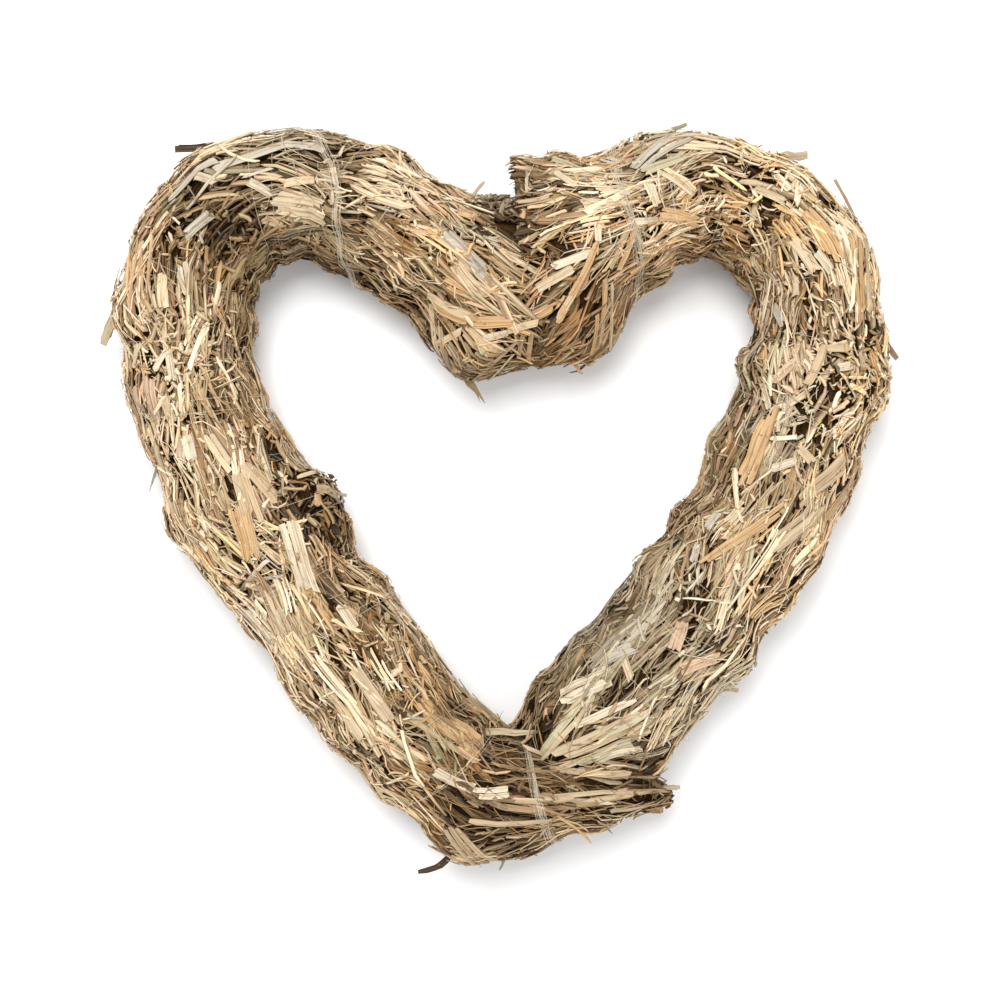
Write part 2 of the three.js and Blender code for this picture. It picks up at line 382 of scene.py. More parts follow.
PATCH_SEED = 23
PATCH_SIZE = 0.05
MESS = 0.7
MESS_SEED = 37
MESS_PATCH = 0.045
MESS_RANGE = (0.2, 1.6)
CHOPPED_MESS = 2.2
CHOPPED_LOOSE = 0.7
CHOPPED_SHORTER = 0.28
COMBED_THINNING = 0.5
COMBED_TIDY = 0.8
COMBED_LONGER = 0.7
LOOSE_TURN = 1.5
LOOSE_LENGTH = 0.55
LOOSE_TILT = 0.06
LOOSE_SPLAY = 0.35
LOOSE_SHIFT = 0.002
LENGTH_SPREAD = 0.36
WIDTH_SPREAD = 0.38
NARROWEST = 0.4
WIDEST = 2.6
SLAT_PITCH = 1.05
SLAT_LENGTHS = (0.6, 1.2)
SLAT_SHIFT = 0.16
THICKNESSES = (0.6, 1.4)
TAIL_SPARE = 0.002
RING_HEAVE = 0.00016
RING_SWAY = 0.8
END_CROWDING = 1.9
UNDER_SKIN = 0.93
STUB_SPARE = 0.003
STUB_DEEP = -0.0015
STUB_RECESS = 0.005
CHOPPED = {
    "left lobe": (-0.124, 0.117, 0.018),
    "left side": (-0.140, 0.066, 0.018),
    "left bump": (-0.078, -0.002, 0.016),
    "right side": (0.150, 0.055, 0.019),
    "right lobe": (0.108, 0.129, 0.014),
    "cleft": (0.002, 0.122, 0.012),
}
SPARSE = {
    "left lobe": (-0.124, 0.117, 0.015),
    "left bump": (-0.078, -0.004, 0.010),
    "cleft": (0.001, 0.117, 0.009),
    "v right": (0.038, 0.084, 0.008),
    "foot": (0.0594, -0.1168, 0.009),
    "tail end": (0.070, -0.1315, 0.005),
    "right lobe": (0.140, 0.113, 0.005),
}
# Painted shade and light: places whose straw is coloured darker (amounts above 0) or lighter (below 0) as
# light falls there.
PAINTED_LIGHT_AND_SHADE = {
    "left lobe": (-0.121, 0.114, 0.028, 0.68),
    "left lobe inside": (-0.085, 0.104, 0.024, 0.48),
    "left top": (-0.090, 0.163, 0.026, 0.30),
    "tip": (0.004, -0.136, 0.045, 0.64),
    "foot": (0.057, -0.117, 0.014, 0.65),
    "tail end": (0.0695, -0.1315, 0.007, 0.6),
    "v gap": (0.038, 0.084, 0.007, 0.55),
    "cleft": (0.004, 0.122, 0.018, 0.6),
    "stub": (0.016, 0.150, 0.018, 0.40),
    "right top": (0.070, 0.163, 0.026, 0.25),
    "right lobe inside": (0.098, 0.104, 0.020, 0.4),
    "v": (0.010, 0.080, 0.040, 0.16),
    "v left": (-0.034, 0.068, 0.018, 0.32),
    "left bump": (-0.075, -0.006, 0.016, 0.40),
    "right leg inside": (0.050, -0.066, 0.040, 0.25),
    "right inside": (0.112, 0.030, 0.022, 0.15),
    "right lobe": (0.105, 0.138, 0.032, -0.30),
    "right side": (0.148, 0.060, 0.036, -0.44),
    "right leg": (0.130, -0.006, 0.034, -0.18),
    "left side": (-0.143, 0.056, 0.030, -0.20),
}
WARM = {
    "v": (0.018, 0.078, 0.045),
    "right lobe": (0.100, 0.120, 0.036),
    "right side": (0.150, 0.050, 0.032),
    "right leg": (0.138, -0.020, 0.040),
    "left leg foot": (-0.020, -0.105, 0.030),
}
COMBED = {
    "tip": (0.010, -0.135, 0.045),
    "tip fan": (0.045, -0.095, 0.028),
    "left leg foot": (-0.020, -0.100, 0.030),
    "v": (0.032, 0.088, 0.028),
    "left top": (-0.110, 0.150, 0.025),
    "left waist": (-0.136, 0.080, 0.015),
}
GREYED = {
    "right leg inside": (0.060, -0.062, 0.045),
    "right inside": (0.118, 0.035, 0.025),
    "left top": (-0.085, 0.158, 0.035),
    "right top": (0.070, 0.158, 0.024),
    "cleft": (0.000, 0.130, 0.018),
}
PALETTE = {
    "bright": srgb(244, 228, 198),
    "straw": srgb(233, 211, 173),
    "tan": srgb(222, 196, 158),
    "amber": srgb(226, 186, 134),
    "rose": srgb(228, 195, 163),
    "sage": srgb(212, 203, 166),
    "ash": srgb(216, 206, 186),
    "brown": srgb(186, 154, 116),
    "bark": srgb(98, 74, 54),
}
BRIGHTNESS = 1.17
TINT_SPREAD = 0.18
PALEST = (0.86, 0.72, 0.52)
DARKEST = 0.004
# Painted shade: inner flanks, straw lying deep under others, undersides and the ridged straws' lower edges
# are coloured darker, and warmer as they darken.
INNER_SHADE = 0.45
SHADE_POWER = np.array([0.85, 1.0, 1.25])
DARK_LIFT = -0.0031
LIGHT_LIFT = 0.0004
DEEPEST_SHADE = 0.015
SHADE_FALL = 1.6
GLOOM_FALL = 1.7
UNDERSIDE_SHADE = 0.35
TOP_SHADE = 1.18
GREY_SHARE = 0.45
GREY_STRAW = np.array([1.10, 1.02, 0.82])
RIDGE_SHADE = 0.64
UNDERSIDE_RANGE = [-0.9, -0.5]
UNDERSIDE_COVER = [0.3, 0.75]


def straw_form(sides, cuts):
    """A unit prism along Z, its ridge or its flat side up: the shape that each straw is bent from."""
    bm = bmesh.new()
    bmesh.ops.create_cone(bm, cap_ends=True, segments=sides, radius1=0.5, radius2=0.5, depth=1)
    lengthwise = [e for e in bm.edges if abs(e.verts[0].co.z - e.verts[1].co.z) > 0.5]
    bmesh.ops.subdivide_edges(bm, edges=lengthwise, cuts=cuts)
    if sides % 2 == 0:
        flat_top = Matrix.Rotation(math.pi / sides, 3, "Z")
        bmesh.ops.rotate(bm, verts=bm.verts, cent=(0, 0, 0), matrix=flat_top)
    reach = 0.5 / max(v.co.x for v in bm.verts)
    bmesh.ops.scale(bm, verts=bm.verts, vec=(reach, reach, 1))
    for face in bm.faces:
        face.smooth = sides > 4 and abs(face.normal.z) < 0.9
    mesh = bpy.data.meshes.new("straw_form")
    bm.to_mesh(mesh)
    bm.free()
    return mesh


def copies(form, count, name):
    """A mesh of that many copies of a form, one after the other."""
    source = bpy.data.objects.new(name, form)
    bpy.context.scene.collection.objects.link(source)
    array = source.modifiers.new("copies", "ARRAY")
    array.count = count
    array.use_relative_offset = False
    shown = source.evaluated_get(bpy.context.evaluated_depsgraph_get())
    mesh = bpy.data.meshes.new_from_object(shown)
    bpy.data.objects.remove(source)
    mesh.name = name
    return mesh


def nearness(spots, places):
    """How near points are to named places in plan: 1 at a place, fading over its reach."""
    near = []
    for x, y, reach, *_ in places:
        apart = (spots[:, 0] - x) ** 2 + (spots[:, 1] - y) ** 2
        near.append(np.exp(-apart / reach**2))
    return np.stack(near, axis=1)


def inside(roll, spots):
    """Which of these points lie under a roll's skin."""
    plan = spots[:, None, :2] - np.stack([roll.x, roll.y], axis=1)[None, ::4]
    nearest = np.argmin(np.sum(plan**2, axis=2), axis=1)
    off = np.linalg.norm(plan[np.arange(len(spots)), nearest], axis=1)
    wide = off / roll.width[nearest * 4]
    deep = (spots[:, 2] - MID_HEIGHT) / roll.depth[nearest * 4]
    return wide**2 + deep**2 < UNDER_SKIN


def showing(side, s, theta, spare):
    """Which places of a roll's skin show: past the seam, the foot or the tail's end by a spare at most."""
    spot = rolls[side].place(s, theta, 0.0)
    x = spot[:, 0]
    y = spot[:, 1]
    if side == "left":
        return ~((x > SEAM_X + spare) & (y > V_LOW - V_MARGIN)) & (s < rolls[side].length + spare)
    edge = np.where(y > SEAM_TOP, STUB_X - np.minimum(spare, STUB_SPARE), SEAM_X - spare)
    return ((x > edge) | (y < V_LOW)) & (y > FOOT_Y - spare) & ~((y < 0) & inside(left_roll, spot))


def scatter(side, count):
    """Random places on a roll's showing skin, few of them on the underside."""
    roll = rolls[side]
    s = rng.uniform(-0.004, roll.length, count * 5)
    theta = rng.uniform(-math.pi, math.pi, count * 5)
    share = roll.at(roll.width, s) / HALF_DEPTH * np.interp(np.sin(theta), UNDERSIDE_RANGE, UNDERSIDE_COVER)
    keep = rng.uniform(0, 1, len(s)) < np.maximum(share, 0.3)
    chosen = np.nonzero(keep & showing(side, s, theta, 0.001))[0][:count]
    return s[chosen], theta[chosen]


def heading_of(side, s, theta, spread):
    """Each straw's angle to its roll: mostly along it, in drifting patches, fanning at the V and the tip."""
    roll = rolls[side]
    angle = LEAN * drift(s, theta * HALF_DEPTH, LEAN_SEED, LEAN_PATCH) + rng.normal(0, spread, len(s))
    if side == "right":
        spot = roll.place(s, theta, 0.0)[:, :2]
        slope = np.radians(np.interp(spot[:, 1], V_HEIGHTS, V_SLOPES_DEG))
        down_v = np.stack([np.cos(slope), np.sin(slope)], axis=1)
        in_v = 1 - np.clip((s - V_RUN) / V_FADE, 0, 1)
        in_fan = np.clip((s - roll.length + FAN_RUN) / FAN_FADE, 0, 1)
        angle += turn_to(roll, s, theta, down_v) * in_v
        angle += turn_to(roll, s, theta, FAN_TIP - spot) * in_fan
    return angle


def turn_to(roll, s, theta, aim):
    """The turn from the roll's own direction to a direction in plan, on the upper or the under side."""
    forward = np.stack([roll.at(roll.tx, s), roll.at(roll.ty, s)], axis=1)
    aim = aim * np.sign(np.sum(aim * forward, axis=1))[:, None]
    turn = np.arctan2(forward[:, 0] * aim[:, 1] - forward[:, 1] * aim[:, 0], np.sum(forward * aim, axis=1))
    up = np.sin(theta)
    return np.sign(up) * np.abs(up) ** 0.5 * turn


def tints(side, s, theta):
    """Straw colours at places of a roll: a pick of dry straw colours that shifts over the heart, with
    painted shade on the inner flanks and painted light and shade at the listed places.
    """
    roll = rolls[side]
    spot = roll.place(s, theta, 0.0)
    x = spot[:, 0]
    y = spot[:, 1]
    inner = -np.cos(theta) if side == "left" else np.cos(theta)
    inner_leg = np.clip(inner, 0, 1) * np.clip((0.05 - y) / 0.04, 0, 1)
    warm = np.minimum(nearness(spot, WARM.values()).sum(axis=1), 1)
    grey = np.minimum(nearness(spot, GREYED.values()).sum(axis=1), 1)
    left = np.clip(-(x + 0.06) / 0.05, 0, 1)
    patch = drift(s, theta * HALF_DEPTH, PATCH_SEED, PATCH_SIZE)
    even = np.ones_like(x)
    weights = np.stack([
        0.18 + 0.08 * patch,
        0.26 * even,
        0.22 * even,
        0.06 + 0.34 * warm + 0.03 * patch,
        0.05 + 0.06 * left + 0.12 * warm,
        0.04 + 0.14 * grey,
        0.04 + 0.34 * grey + 0.10 * inner_leg,
        0.10 - 0.05 * patch,
    ], axis=1).clip(0.01)
    reach = np.cumsum(weights / weights.sum(axis=1, keepdims=True), axis=1)
    picked = np.minimum((rng.uniform(0, 1, (len(s), 1)) > reach).sum(axis=1), weights.shape[1] - 1)
    shade = BRIGHTNESS * np.exp(rng.normal(0, TINT_SPREAD, len(s)))
    # painted shade on the flank that faces into the heart, then painted light and shade by place
    shade = shade * (1 - INNER_SHADE * np.clip(inner + 0.1, 0, 1) ** 1.5)
    shade = np.minimum(shade * light_at(spot), TOP_SHADE)
    colour = np.array(list(PALETTE.values()))[picked] * shade[:, None] ** SHADE_POWER
    grey = GREY_SHARE * grey[:, None]
    return colour * (1 - grey) + colour.mean(axis=1, keepdims=True) * GREY_STRAW * grey


def light_at(spot):
    """The painted light and shade of the straw's colour at points of the heart: 1 in the open, less at the
    shaded places, more where the amount is below 0.
    """
    darker = np.array([values[3] for values in PAINTED_LIGHT_AND_SHADE.values()])
    return np.prod(1 - darker * nearness(spot, PAINTED_LIGHT_AND_SHADE.values()), axis=1)


def straw_batch(side, kind):
    """Random straws of one kind on a roll, in side-by-side groups, as columns of values."""
    s, theta = scatter(side, int(kind.groups * SIDE_SHARES[side]))
    spot = rolls[side].place(s, theta, 0.0)
    messy = MESS * drift(s, theta * HALF_DEPTH, MESS_SEED, MESS_PATCH)
    messy = messy + CHOPPED_MESS * nearness(spot, CHOPPED.values()).sum(axis=1)
    if kind.only_messy:
        picked = rng.uniform(*MESS_RANGE, len(s)) < messy
        s, theta, messy, spot = (column[picked] for column in (s, theta, messy, spot))
    sparse = nearness(spot, SPARSE.values()).max(axis=1)
    combed = nearness(spot, COMBED.values()).max(axis=1)
    bare = kind.sparse * np.maximum(sparse, COMBED_THINNING * combed)
    covered = rng.uniform(0, 1, len(s)) > bare
    s, theta, messy, spot, combed = (column[covered] for column in (s, theta, messy, spot, combed))
    heading = heading_of(side, s, theta, kind.spread)
    chopped = nearness(spot, CHOPPED.values()).max(axis=1)
    looseness = kind.chop * (1 + messy + np.cos(theta) ** 2) + CHOPPED_LOOSE * chopped
    loose = rng.uniform(0, 1, len(s)) < looseness * (1 - COMBED_TIDY * combed)
    heading = np.where(loose, rng.uniform(-LOOSE_TURN, LOOSE_TURN, len(s)), heading)
    run = np.exp(rng.normal(math.log(kind.length), LENGTH_SPREAD, len(s)))
    run *= np.where(loose, LOOSE_LENGTH, 1.0)
    run *= (1 + COMBED_LONGER * combed) * (1 - CHOPPED_SHORTER * chopped)
    tint = tints(side, s, theta)
    height = rng.uniform(*kind.lifts, len(s))
    tilt = rng.normal(0, kind.tilt, len(s)) + np.where(loose, rng.normal(0, LOOSE_TILT, len(s)), 0)
    fan = rng.normal(0, kind.fan, len(s))
    slats = kind.slats
    group = np.repeat(np.arange(len(s)), slats)
    count = len(group)
    grouped = slats > 1
    width = kind.width
    aside = (np.arange(count) % slats - (slats - 1) / 2) * width * SLAT_PITCH
    aside = aside + rng.normal(0, kind.splay * 5 * width, count)
    b = SimpleNamespace(side=side)
    b.heading = heading[group] + grouped * (aside * fan[group] + rng.normal(0, kind.splay, count))
    b.heading += grouped * loose[group] * rng.normal(0, LOOSE_SPLAY, count)
    b.length = run[group] * rng.uniform(*SLAT_LENGTHS, count)
    b.width = np.exp(rng.normal(math.log(width), WIDTH_SPREAD, count))
    b.width = b.width.clip(NARROWEST * width, WIDEST * width)
    b.s = s[group] - aside * np.sin(heading[group]) + rng.normal(0, SLAT_SHIFT, count) * run[group] * grouped
    b.s += grouped * loose[group] * rng.normal(0, LOOSE_SHIFT, count)
    girth = rolls[side].at(rolls[side].width, b.s)
    b.theta = theta[group] + aside * np.cos(heading[group]) / girth
    b.thickness = kind.thickness * rng.uniform(*THICKNESSES, count)
    b.lift = height[group] + rng.normal(0, kind.splay * 0.006, count) * grouped
    b.tilt = tilt[group]
    b.roll = rng.normal(0, 0.18, count)
    b.bow = rng.normal(0, kind.curl, count) * b.length
    b.kink = rng.normal(0, kind.kink, count)
    b.stiff = rng.uniform(*kind.stiff, count)
    b.ends = rng.uniform(kind.point, 1.0, (count, 2))
    b.slant = rng.normal(0, kind.slant, (count, 2))
    b.wobble = np.full(count, kind.wobble)
    b.crossing = np.full(count, kind.crossing)
    b.bared = np.zeros(count)
    b.tint = tint[group] * np.exp(rng.normal(0, 0.12, (count, 1))) * rng.normal(1, 0.02, (count, 3))
    b.tint = b.tint.clip(DARKEST, PALEST)
    return held(b)


def held(b):
    """Draws straws back until no end passes the seam, the foot or the tail's end, and drops the rest."""
    roll = rolls[b.side]
    girth = roll.at(roll.width, b.s)
    for end in (-0.5, 0.5, -0.5, 0.5):
        run = end * b.length * np.cos(b.heading)
        turn = b.theta + end * b.length * np.sin(b.heading) / girth
        spot = roll.place(b.s + run, turn, 0.0)
        x = spot[:, 0]
        y = spot[:, 1]
        if b.side == "left":
            b.s += np.clip(x - SEAM_X - b.crossing, 0, None) * (y > V_LOW - V_MARGIN)
            b.s -= np.clip(b.s + run - roll.length - 0.001, 0, None)
        else:
            stub = STUB_X - 0.001 + np.where(b.lift < STUB_DEEP, STUB_RECESS, 0.0)
            edge = np.where(y > SEAM_TOP, stub, SEAM_X - b.crossing)
            b.s += np.clip(edge - x, 0, None) * (y > V_LOW)
            b.s -= 1.2 * np.clip(FOOT_Y - y, 0, None)
    keep = np.ones(len(b.s), bool)
    for end in (-0.5, 0.5):
        run = end * b.length * np.cos(b.heading)
        turn = end * b.length * np.sin(b.heading) / girth
        kept = showing(b.side, b.s + run, b.theta + turn, b.crossing + 0.001)
        keep &= kept | (b.s > 0.1) & (b.s < roll.length - 0.06)
    columns = {name: values[keep] for name, values in vars(b).items() if name != "side"}
    return SimpleNamespace(side=b.side, **columns)


def lay(b, form):
    """Bends a copy of the form into every straw of a batch, lays it on the roll and colours its corners with
    painted shade.
    """
    roll = rolls[b.side]
    corners = np.array([v.co for v in form.vertices])
    along, across, over = corners[None, :, 2], corners[None, :, 0], corners[None, :, 1]
    heights, ring = np.unique(corners[:, 2].round(4), return_inverse=True)
    rings = (len(b.s), len(heights))
    wobble = b.wobble[:, None]
    swell = np.exp(wobble * rng.normal(0, 1, rings))[:, ring]
    sway = (RING_SWAY * wobble * rng.normal(0, 1, rings))[:, ring]
    heave = rng.normal(0, RING_HEAVE, rings)[:, ring]
    s, theta, heading, lift = (values[:, None] for values in (b.s, b.theta, b.heading, b.lift))
    width = b.width[:, None]
    length = b.length[:, None]
    end = np.where(along < 0, b.ends[:, :1], b.ends[:, 1:])
    slant = np.where(along < 0, b.slant[:, :1], b.slant[:, 1:])
    reach = np.abs(2 * along)
    last = reach > 0.99
    v = across * width * swell * np.where(last, end, 1) + sway * width + b.bow[:, None] * (1 - reach**2)
    u = 0.5 * np.sign(along) * (1 - (1 - reach) ** END_CROWDING) * length + slant * across * width * last
    v = v + b.kink[:, None] * np.maximum(u, 0)
    rise = over * b.thickness[:, None] + heave
    rise = rise + b.tilt[:, None] * u + b.roll[:, None] * across * width + lift
    run = u * np.cos(heading) - v * np.sin(heading)
    turn = u * np.sin(heading) + v * np.cos(heading)
    probe = 0.0005
    girth = 0.5 * (roll.at(roll.width, s) + roll.at(roll.depth, s)) + lift
    ahead = roll.place(s + probe, theta, lift) - roll.place(s - probe, theta, lift)
    round_ = roll.place(s, theta + probe / girth, lift) - roll.place(s, theta - probe / girth, lift)
    stretch = np.linalg.norm(ahead, axis=2).clip(probe) / (2 * probe)
    wrapped = roll.place(np.minimum(s + run / stretch, roll.length + TAIL_SPARE), theta + turn / girth, rise)
    ahead = ahead / np.linalg.norm(ahead, axis=2)[..., None]
    round_ = round_ / np.linalg.norm(round_, axis=2)[..., None]
    outward = np.cross(round_, ahead)
    skin = roll.place(s, theta, 0 * s)
    raised = roll.place(s, theta, 0 * s + 0.001) - skin
    outward = outward * np.sign(np.sum(outward * raised, axis=2))[..., None]
    straight = skin + ahead * run[..., None] + round_ * turn[..., None] + outward * rise[..., None]
    straight[..., 2] = np.maximum(straight[..., 2], FLOOR_CLEAR)
    places = wrapped + (straight - wrapped) * b.stiff[:, None, None]
    tone = rng.uniform(0, 1, (len(b.s), 1))
    grain = np.stack(np.broadcast_arrays(u, across * width, tone), axis=2)
    # painted shade: straw lying deeper under others is coloured darker, more so at the shaded places, and
    # its underside or lower edges darker still; a bared share holds some of it back
    open_air = np.clip((rise - DARK_LIFT) / (LIGHT_LIFT - DARK_LIFT), b.bared[:, None], 1)
    under = RIDGE_SHADE if len(corners) == 3 * len(heights) else UNDERSIDE_SHADE
    gloom = 1 - light_at(skin[:, 0])[:, None]
    depth_shade = DEEPEST_SHADE + (1 - DEEPEST_SHADE) * open_air ** (SHADE_FALL + GLOOM_FALL * gloom)
    shade = depth_shade * np.where(over < -0.1, under, 1)
    colour = b.tint[:, None, :] * shade[..., None] ** SHADE_POWER
    side_to_side = np.broadcast_to(across + 0.5, shade.shape)[..., None]
    return places, grain, np.concatenate([colour, side_to_side], axis=2)


def straw_piece(name, form, batches, material):
    """One piece made of all the straws of some batches, with their colours and a bake map of small cells."""
    places, grain, tint = (np.concatenate(parts) for parts in zip(*(lay(b, form) for b in batches)))
    mesh = copies(form, len(places), name)
    paint(mesh, places, grain, tint)
    bake_cells(mesh, form, len(places))
    return add_piece(mesh, material)


def paint(mesh, places, grain, tint):
    """Moves a mesh's corners to their places and gives them their straw's grain and tint."""
    mesh.vertices.foreach_set("co", places.astype(np.float32).ravel())
    grains = mesh.attributes.new("grain", "FLOAT_VECTOR", "POINT")
    grains.data.foreach_set("vector", grain.astype(np.float32).ravel())
    colours = mesh.attributes.new("tint", "FLOAT_COLOR", "POINT")
    colours.data.foreach_set("color", tint.astype(np.float32).ravel())
    mesh.update()


def bake_cells(mesh, form, count):
    """Gives each straw a small cell of the bake map, its length up the cell and its width across it."""
    owners = np.empty(len(mesh.loops), np.int32)
    mesh.loops.foreach_get("vertex_index", owners)
    corners = np.array([v.co for v in form.vertices])
    local = owners % len(corners)
    straw = owners // len(corners)
    cells = math.ceil(math.sqrt(count))
    u = (straw % cells + 0.5 + 0.84 * corners[local, 0]) / cells
    v = (straw // cells + 0.5 + 0.84 * corners[local, 2]) / cells
    layer = mesh.uv_layers.new(name="OFBake")
    layer.data.foreach_set("uv", np.stack([u, v], axis=1).astype(np.float32).ravel())


def straw_material():
    """Waxy dry straw: the straw's own tint, with dark and pale lines and blotches, and painted shade that
    darkens its edges.
    """
    material, shader, wire = new_material("dry_straw")
    tint = wire.node("ShaderNodeAttribute", {"attribute_name": "tint"})
    side_to_side = Wire(tint.tree, tint.socket.node.outputs["Alpha"])
    grain = wire.node("ShaderNodeAttribute", {"attribute_name": "grain"}, out=1)
    lines = wire.node("ShaderNodeMapping", Vector=grain, Scale=(18, 1300, 40))
    streaks = wire.node("ShaderNodeTexNoise", Vector=lines, Scale=1.0, Detail=3.0, Roughness=0.6)
    spots = wire.node("ShaderNodeMapping", Vector=grain, Scale=(150, 500, 17))
    blotch = wire.node("ShaderNodeTexNoise", Vector=spots, Scale=1.0, Detail=3.0, Roughness=0.65)
    off_middle = side_to_side * 2.0 - 1.0
    edge = off_middle * off_middle
    colour = tint.tinted((*srgb(170, 134, 96), 1), blotch.between(0.52, 0.8, 0.0, 0.8), "MULTIPLY")
    colour = colour.tinted((*srgb(160, 126, 88), 1), streaks.between(0.52, 0.3, 0.0, 0.65), "MULTIPLY")
    # painted shade: each straw darker towards both edges
    colour = colour.tinted((*srgb(150, 118, 84), 1), edge.between(0.6, 1.0, 0.0, 0.35), "MULTIPLY")
    colour = colour.tinted((*srgb(250, 238, 214), 1), streaks.between(0.54, 0.75, 0.0, 0.2))
    rough = streaks.between(0.3, 0.7, 0.62, 0.42)
    bump = wire.node("ShaderNodeBump", Height=streaks, Strength=0.5, Distance=0.0005)
    wire.feed(shader.inputs["Base Color"], colour)
    wire.feed(shader.inputs["Roughness"], rough)
    wire.feed(shader.inputs["Normal"], bump)
    shader.inputs["Specular IOR Level"].default_value = 0.18
    return material


def under_pixel(px, py, known_side=None):
    """The roll, run and angle of the skin that the photograph shows at a pixel."""
    height = MID_HEIGHT + 0.8 * HALF_DEPTH
    for _ in range(4):
        scale = FRAME_WIDTH / PHOTO_SIZE * (1 - (height - MID_HEIGHT) / CAMERA_HEIGHT)
        x = (px - PHOTO_MIDDLE[0]) * scale
        y = (PHOTO_MIDDLE[1] - py) * scale
        on_left = x < SEAM_X if y > 0 else y < FOOT_Y or x < -0.010
        side = known_side or ("left" if on_left else "right")
        roll = rolls[side]
        i = np.argmin((roll.x - x) ** 2 + (roll.y - y) ** 2)
        off = (x - roll.x[i]) * roll.ty[i] - (y - roll.y[i]) * roll.tx[i]
        theta = math.acos(max(-0.97, min(0.97, off / roll.width[i])))
        height = MID_HEIGHT + math.sin(theta) * roll.depth[i]
    return side, roll.grid[i], theta


def marked_batch(side):
    """The listed straws of one roll as columns of values, each a group of side-by-side slats."""
    rows = []
    for x0, y0, x1, y1, width, colour in MARKED.values():
        slats = max(1, round(width / MARKED_SLAT))
        home, s, theta = under_pixel((x0 + x1) / 2, (y0 + y1) / 2)
        if home != side:
            continue
        roll = rolls[side]
        middle = roll.place(s, theta, 0.0)
        scale = FRAME_WIDTH / PHOTO_SIZE * (1 - (middle[2] - MID_HEIGHT) / CAMERA_HEIGHT)
        reach = np.array([x1 - x0, y0 - y1]) * scale
        forward = np.array([roll.at(roll.tx, s), roll.at(roll.ty, s)])
        run = reach @ forward
        aside = (forward[0] * reach[1] - forward[1] * reach[0]) / max(0.45, math.sin(theta))
        lift = rng.uniform(*MARKED_LIFTS)
        heading = math.atan2(aside, run)
        length = math.hypot(run, aside)
        for slat in range(slats):
            off = ((slat + 0.5) / slats - 0.5) * width
            shift = rng.normal(0, MARKED_SHIFT) * length
            slat_s = s - off * math.sin(heading) + shift * math.cos(heading)
            slat_theta = theta + off * math.cos(heading) / roll.at(roll.width, s)
            slat_heading = heading + rng.normal(0, MARKED_TURN)
            slat_length = length * rng.uniform(*MARKED_LENGTHS)
            slat_lift = lift + rng.normal(0, MARKED_STEP)
            tint = PALETTE[colour] * MARKED_BRIGHTNESS * math.exp(rng.normal(0, MARKED_TINT))
            slat_width = SLAT_OVERLAP * width / slats
            rows.append((slat_s, slat_theta, slat_heading, slat_length, slat_width, slat_lift, *tint))
    values = np.array(rows).T
    count = len(rows)
    b = SimpleNamespace(side=side)
    b.s, b.theta, b.heading, b.length, b.width, b.lift = values[:6]
    b.tint = values[6:].T
    b.thickness = rng.uniform(0.0003, 0.0005, count)
    b.tilt = rng.normal(0, 0.008, count)
    b.roll = rng.normal(0, 0.06, count)
    b.kink = rng.normal(0, 0.02, count)
    b.bow = rng.normal(0, 0.008, count) * b.length
    b.stiff = rng.uniform(0.0, 0.15, count)
    b.ends = rng.uniform(0.55, 1.0, (count, 2))
    b.slant = rng.normal(0, 0.35, (count, 2))
    b.wobble = np.full(count, 0.035)
    b.bared = np.zeros(count)
    return b


def cut_ends():
    """The cut straws that show in the end of the right roll's stub, packed side by side through it."""
    count = STUB_ENDS
    theta = rng.uniform(-math.pi, math.pi, count)
    lift = -HALF_DEPTH * (1 - np.sqrt(rng.uniform(*STUB_FILL, count)))
    s = np.full(count, 0.02)
    face = STUB_X + rng.uniform(0.0, STUB_ROUGHNESS, count)
    for _ in range(12):
        s += np.clip(face - right_roll.place(s, theta, lift)[:, 0], -0.01, 0.01)
    spot = right_roll.place(s, theta, lift)
    seen = (np.abs(spot[:, 0] - face) < 0.001) & (spot[:, 1] > STUB_LOW)
    s, theta, lift = (column[seen] for column in (s, theta, lift))
    count = len(s)
    b = SimpleNamespace(side="right", theta=theta, lift=lift, heading=rng.normal(0, 0.10, count))
    b.length = np.full(count, STUB_END_LENGTH)
    b.s = s + 0.5 * STUB_END_LENGTH
    b.width = rng.uniform(*STUB_WIDTHS, count)
    b.thickness = b.width * rng.uniform(0.4, 0.9, count)
    b.tilt = np.zeros(count)
    b.kink = np.zeros(count)
    b.bow = np.zeros(count)
    b.roll = rng.normal(0, 0.5, count)
    b.stiff = np.zeros(count)
    b.ends = rng.uniform(0.8, 1.0, (count, 2))
    b.slant = rng.normal(0, 0.3, (count, 2))
    b.wobble = np.full(count, 0.03)
    # the cut ends show at the stub's face, so most of the painted depth shade is held back from them
    b.bared = rng.uniform(0.45, 0.9, count)
    b.tint = tints("right", b.s, theta)
    return b


